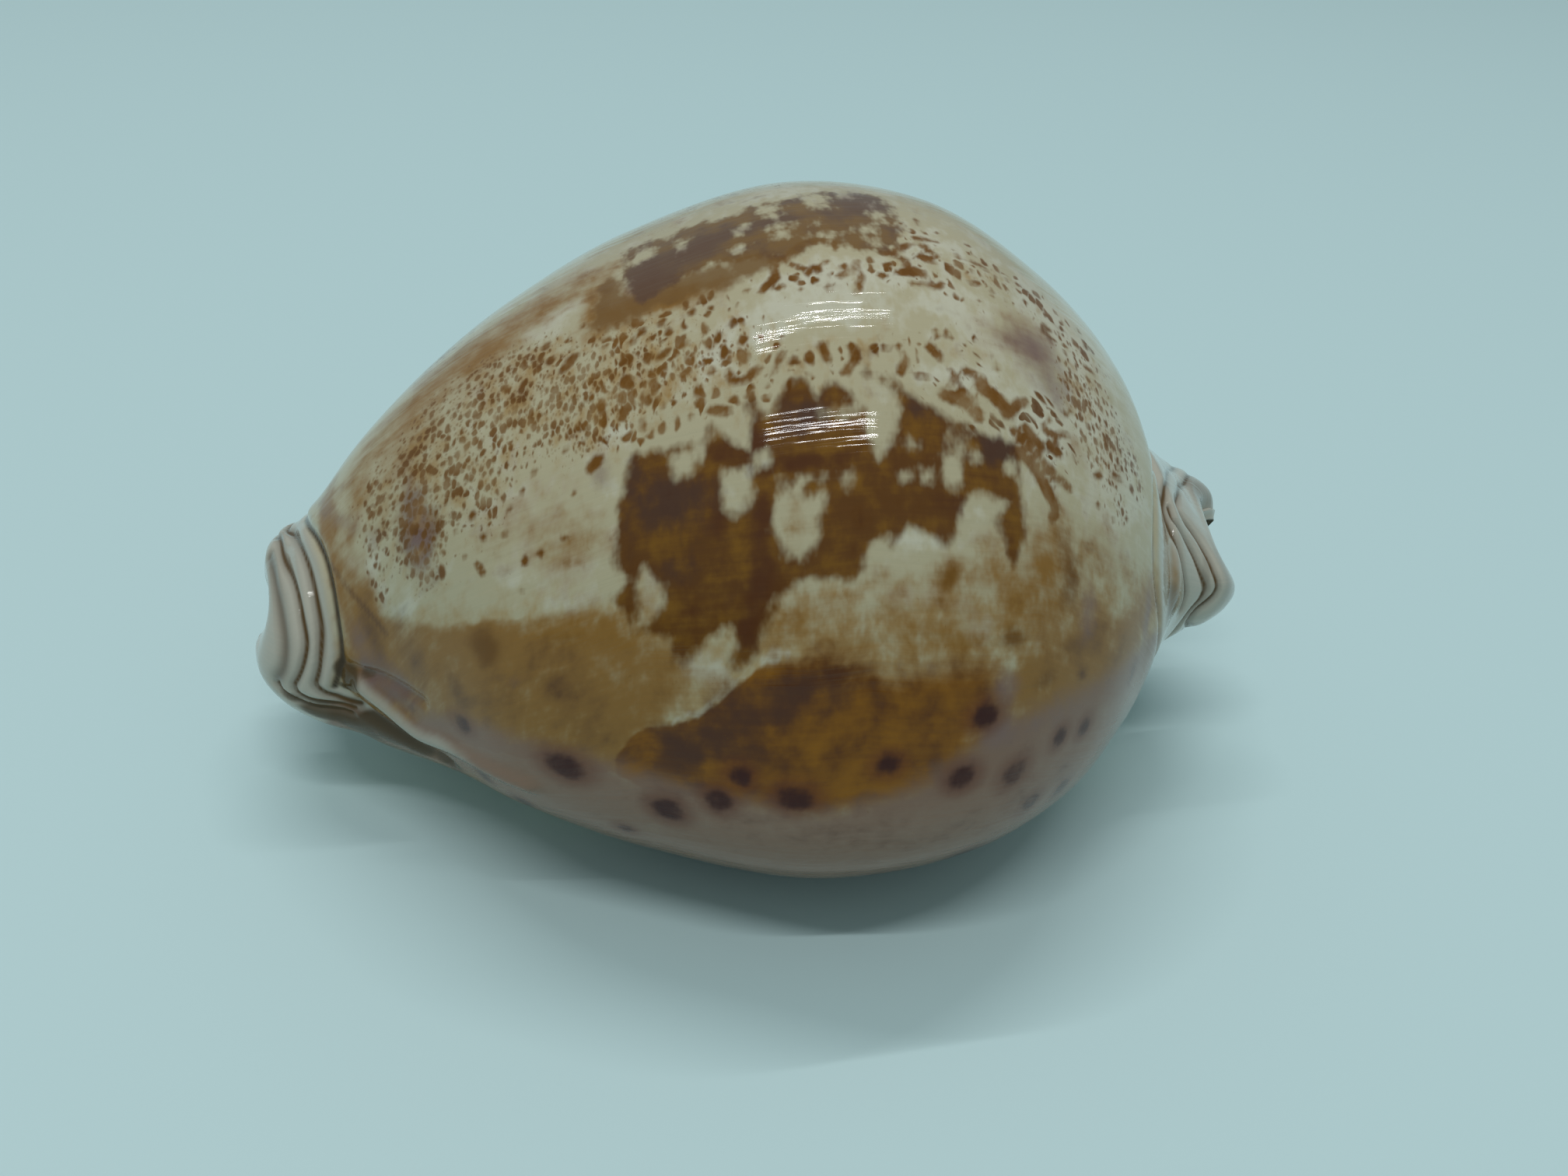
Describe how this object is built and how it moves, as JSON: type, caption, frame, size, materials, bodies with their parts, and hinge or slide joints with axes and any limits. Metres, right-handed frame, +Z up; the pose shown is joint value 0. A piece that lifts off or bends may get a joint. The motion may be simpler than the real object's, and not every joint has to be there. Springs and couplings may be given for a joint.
{
  "type": "cowrie shell",
  "caption": "Whole cowrie shell: hollow humped porcelain body with two flanged canals and a toothed slit along its base, on which it rests.",
  "frame": {"origin": "centre of the bounding box at the surface that the base rests on", "axes": "+X along the shell towards the spire end and the back canal, +Z up through the humped back, so the slit runs along X underneath and +Y is the outer-lip side"},
  "size_m": [0.071, 0.0518, 0.0418],
  "materials": {
    "shell": "naturally polished porcelain, ivory with chestnut and olive markings"
  },
  "bodies": {
    "root": {"shell": "shell"}
  },
  "joints": []
}
